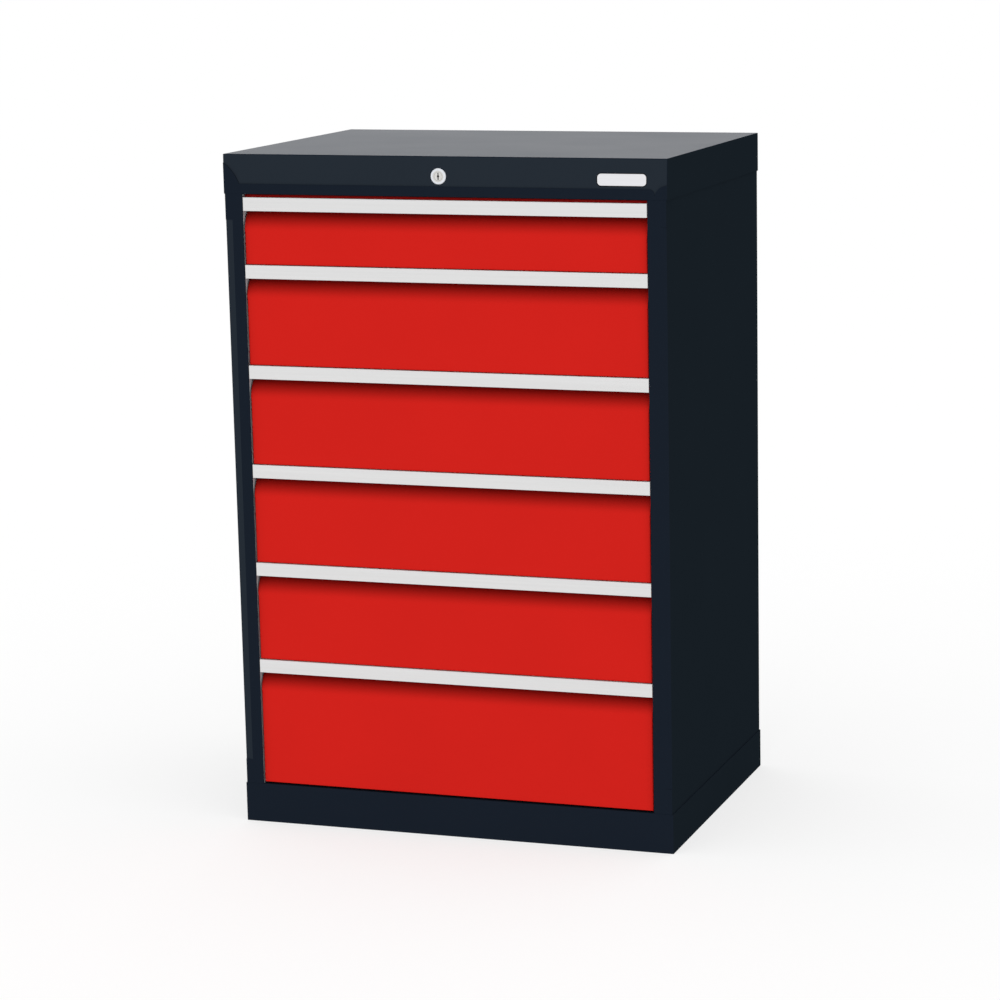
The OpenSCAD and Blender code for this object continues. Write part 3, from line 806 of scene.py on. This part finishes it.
class CABINET_OT_grips(bpy.types.Operator):
    """Extruded grip rails with eased edges"""

    bl_idname = "cabinet.grips"
    bl_label = "Grips"
    bl_options = {"REGISTER", "UNDO"}

    def execute(self, context):
        sizes = context.scene.cabinet_sizes
        for n in DRAWERS:
            node = f"grip_{n}"
            grip = copied(node, node + "_rail")
            rounded(
                grip, sizes.grip_radius, segments=2,
                wanted=lambda edge: is_fold(edge, GRIP_FACE, GRIP_FOLD),
            )
            dressed(grip, node, "grip_aluminium", "aluminium")
            smooth(grip)
        return {"FINISHED"}


class CABINET_OT_screws(bpy.types.Operator):
    """Grip screws with hexagon sockets"""

    bl_idname = "cabinet.screws"
    bl_label = "Screws"
    bl_options = {"REGISTER", "UNDO"}

    def execute(self, context):
        sizes = context.scene.cabinet_sizes
        for n in DRAWERS:
            node = f"grip_screws_{n}"
            screws = copied(node, node + "_heads")
            self.sockets(screws, sizes)
            broken(screws, sizes.edge_radius)
            dressed(screws, node, "zinc_steel", "zinc")
            smooth(screws)
        return {"FINISHED"}

    def sockets(self, screws, sizes):
        """Cut a hexagon socket into each head, which looks to the back."""
        back = max(vertex.co.y for vertex in screws.data.vertices)
        heads = [face.center.copy() for face in screws.data.polygons if face.center.y > back - TOUCH]
        to_corner = sizes.socket_across / math.sqrt(3)
        for head in heads:
            pocketed(screws, head, sides=6, radius=to_corner, depth=sizes.socket_depth)


class CABINET_OT_lock(bpy.types.Operator):
    """Lock with its ring, barrel and inner bars"""

    bl_idname = "cabinet.lock"
    bl_label = "Lock"
    bl_options = {"REGISTER", "UNDO"}

    def execute(self, context):
        sizes = context.scene.cabinet_sizes
        self.ring(sizes)
        self.barrel(sizes)
        for node in ("lock_nut", "lock_guides", "lock_cam", "lock_slide", "lock_bar", "lock_hooks"):
            bar = copied(node, node + "_steel")
            broken(bar, sizes.edge_radius)
            dressed(bar, node, "zinc_steel", "zinc")
            smooth(bar)
        return {"FINISHED"}

    def ring(self, sizes):
        """Ring whose face lies a little behind its polished rim."""
        ring = copied("lock_housing", "lock_ring")
        low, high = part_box("lock_housing")
        eye = Vector(((low.x + high.x) / 2, low.y, (low.z + high.z) / 2))
        pocketed(ring, eye, sides=64, radius=sizes.rim_inside, depth=sizes.rim_height)
        broken(ring, sizes.ring_radius)
        dressed(ring, "lock_housing", "lock_chrome", "chrome", "plug")
        behind = low.y + sizes.rim_height / 2
        paint(ring, "plug", lambda normal, centre: faces_front(normal) and centre.y > behind)
        smooth(ring)

    def barrel(self, sizes):
        """Barrel whose key slot is painted dark, as shade."""
        barrel = copied("lock_barrel", "lock_plug")
        broken(barrel, sizes.barrel_radius)
        dressed(barrel, "lock_barrel", "lock_chrome", "plug", "key_slot_shade")
        low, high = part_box("lock_barrel")
        middle = (low + high) / 2
        # Painted shade inside the key slot
        paint(barrel, "key_slot_shade", lambda _, centre: self.in_slot(centre, low.y, middle))
        smooth(barrel)

    def in_slot(self, centre, face, middle):
        """True for a spot inside the key slot, behind the barrel's face and near its axis."""
        from_axis = math.hypot(centre.x - middle.x, centre.z - middle.z)
        return from_axis < SLOT_REACH and between(centre.y, (face + SLOT_START, middle.y + SLOT_END))


class CABINET_OT_plate(bpy.types.Operator):
    """Bare plate in the fascia"""

    bl_idname = "cabinet.plate"
    bl_label = "Plate"
    bl_options = {"REGISTER", "UNDO"}

    def execute(self, context):
        plate = copied("name_plate", "bare_plate")
        broken(plate, context.scene.cabinet_sizes.plate_radius)
        dressed(plate, "name_plate", "plate_pale", "plate")
        smooth(plate)
        return {"FINISHED"}


class CABINET_OT_stage(bpy.types.Operator):
    """White studio with soft light, and the camera"""

    bl_idname = "cabinet.stage"
    bl_label = "Stage"
    bl_options = {"REGISTER", "UNDO"}

    def execute(self, context):
        scene = context.scene
        stage = scene.cabinet_stage
        scene.view_settings.view_transform = "Standard"
        self.floor(scene.cabinet_colours.floor, stage)
        self.world(scene, stage)
        self.lamp(scene, "key_light", stage.key_place, stage.key_aim, stage.key_size, stage.key_power)
        self.lamp(scene, "fill_light", stage.fill_place, stage.fill_aim, stage.fill_size, stage.fill_power)
        self.camera(scene, stage)
        return {"FINISHED"}

    def floor(self, pale, stage):
        """Matt floor that glows a little and keeps the cabinet's shadow."""
        bpy.ops.object.select_all(action="DESELECT")
        bpy.ops.mesh.primitive_plane_add(size=stage.floor_size)
        floor = bpy.context.active_object
        floor.name = "studio_floor"
        made = bpy.data.materials.new("studio_floor")
        made.use_nodes = True
        made.node_tree.nodes.clear()
        nodes = Nodes(made.node_tree)
        grain = nodes.noise(nodes.place(), scale=3)
        shade = nodes.shaded(pale, nodes.ranged(grain, low=0.995, high=1.0))
        matt = nodes.add("ShaderNodeBsdfDiffuse", {"Color": shade}).outputs[0]
        glow = nodes.add("ShaderNodeEmission", {"Strength": stage.floor_glow}).outputs[0]
        both = nodes.add("ShaderNodeAddShader", {0: matt, 1: glow}).outputs[0]
        nodes.add("ShaderNodeOutputMaterial", {"Surface": both})
        floor.data.materials.append(made)

    def world(self, scene, stage):
        """Even white surroundings."""
        world = bpy.data.worlds.new("studio_world")
        world.use_nodes = True
        scene.world = world
        background = world.node_tree.nodes["Background"]
        background.inputs["Color"].default_value = (1, 1, 1, 1)
        background.inputs["Strength"].default_value = stage.world_light

    def lamp(self, scene, name, stand, aim, size, watts):
        """Soft round light."""
        data = bpy.data.lights.new(name, "AREA")
        data.shape = "DISK"
        data.size = size
        data.energy = watts
        lamp = bpy.data.objects.new(name, data)
        lamp.location = stand
        lamp.rotation_euler = (Vector(aim) - Vector(stand)).to_track_quat("-Z", "Y").to_euler()
        scene.collection.objects.link(lamp)

    def camera(self, scene, stage):
        """Camera at the photograph's viewing angle."""
        data = bpy.data.cameras.new("photo_camera")
        data.lens = stage.lens
        data.sensor_width = stage.sensor
        data.shift_x, data.shift_y = stage.shift
        camera = bpy.data.objects.new("photo_camera", data)
        aimed = Euler((math.pi / 2 - stage.elevation, 0, stage.azimuth)).to_matrix()
        turned = aimed @ Matrix.Rotation(stage.roll, 3, "Z")
        camera.matrix_world = Matrix.Translation(stage.camera_place) @ turned.to_4x4()
        scene.collection.objects.link(camera)
        scene.camera = camera


OPERATORS = (
    CABINET_OT_materials,
    CABINET_OT_housing,
    CABINET_OT_base,
    CABINET_OT_uprights,
    CABINET_OT_slides,
    CABINET_OT_trays,
    CABINET_OT_fronts,
    CABINET_OT_grips,
    CABINET_OT_screws,
    CABINET_OT_lock,
    CABINET_OT_plate,
    CABINET_OT_stage,
)


class CABINET_PT_panel(bpy.types.Panel):
    """Lists the cabinet's operators and values"""

    bl_idname = "CABINET_PT_panel"
    bl_label = "Drawer cabinet"
    bl_space_type = "VIEW_3D"
    bl_region_type = "UI"
    bl_category = "Cabinet"

    def draw(self, context):
        for operator in OPERATORS:
            self.layout.operator(operator.bl_idname)
        for name, group in GROUPS.items():
            box = self.layout.box()
            for value in group.__annotations__:
                box.prop(getattr(context.scene, name), value)


def register():
    for group in GROUPS.values():
        bpy.utils.register_class(group)
    for operator in OPERATORS:
        bpy.utils.register_class(operator)
    bpy.utils.register_class(CABINET_PT_panel)
    for name, group in GROUPS.items():
        setattr(bpy.types.Scene, name, PointerProperty(type=group))


def unregister():
    for name in GROUPS:
        delattr(bpy.types.Scene, name)
    bpy.utils.unregister_class(CABINET_PT_panel)
    for operator in reversed(OPERATORS):
        bpy.utils.unregister_class(operator)
    for group in reversed(GROUPS.values()):
        bpy.utils.unregister_class(group)


def main():
    register()
    for operator in OPERATORS:
        family, name = operator.bl_idname.split(".")
        getattr(getattr(bpy.ops, family), name)()


if __name__ == "__main__":
    main()
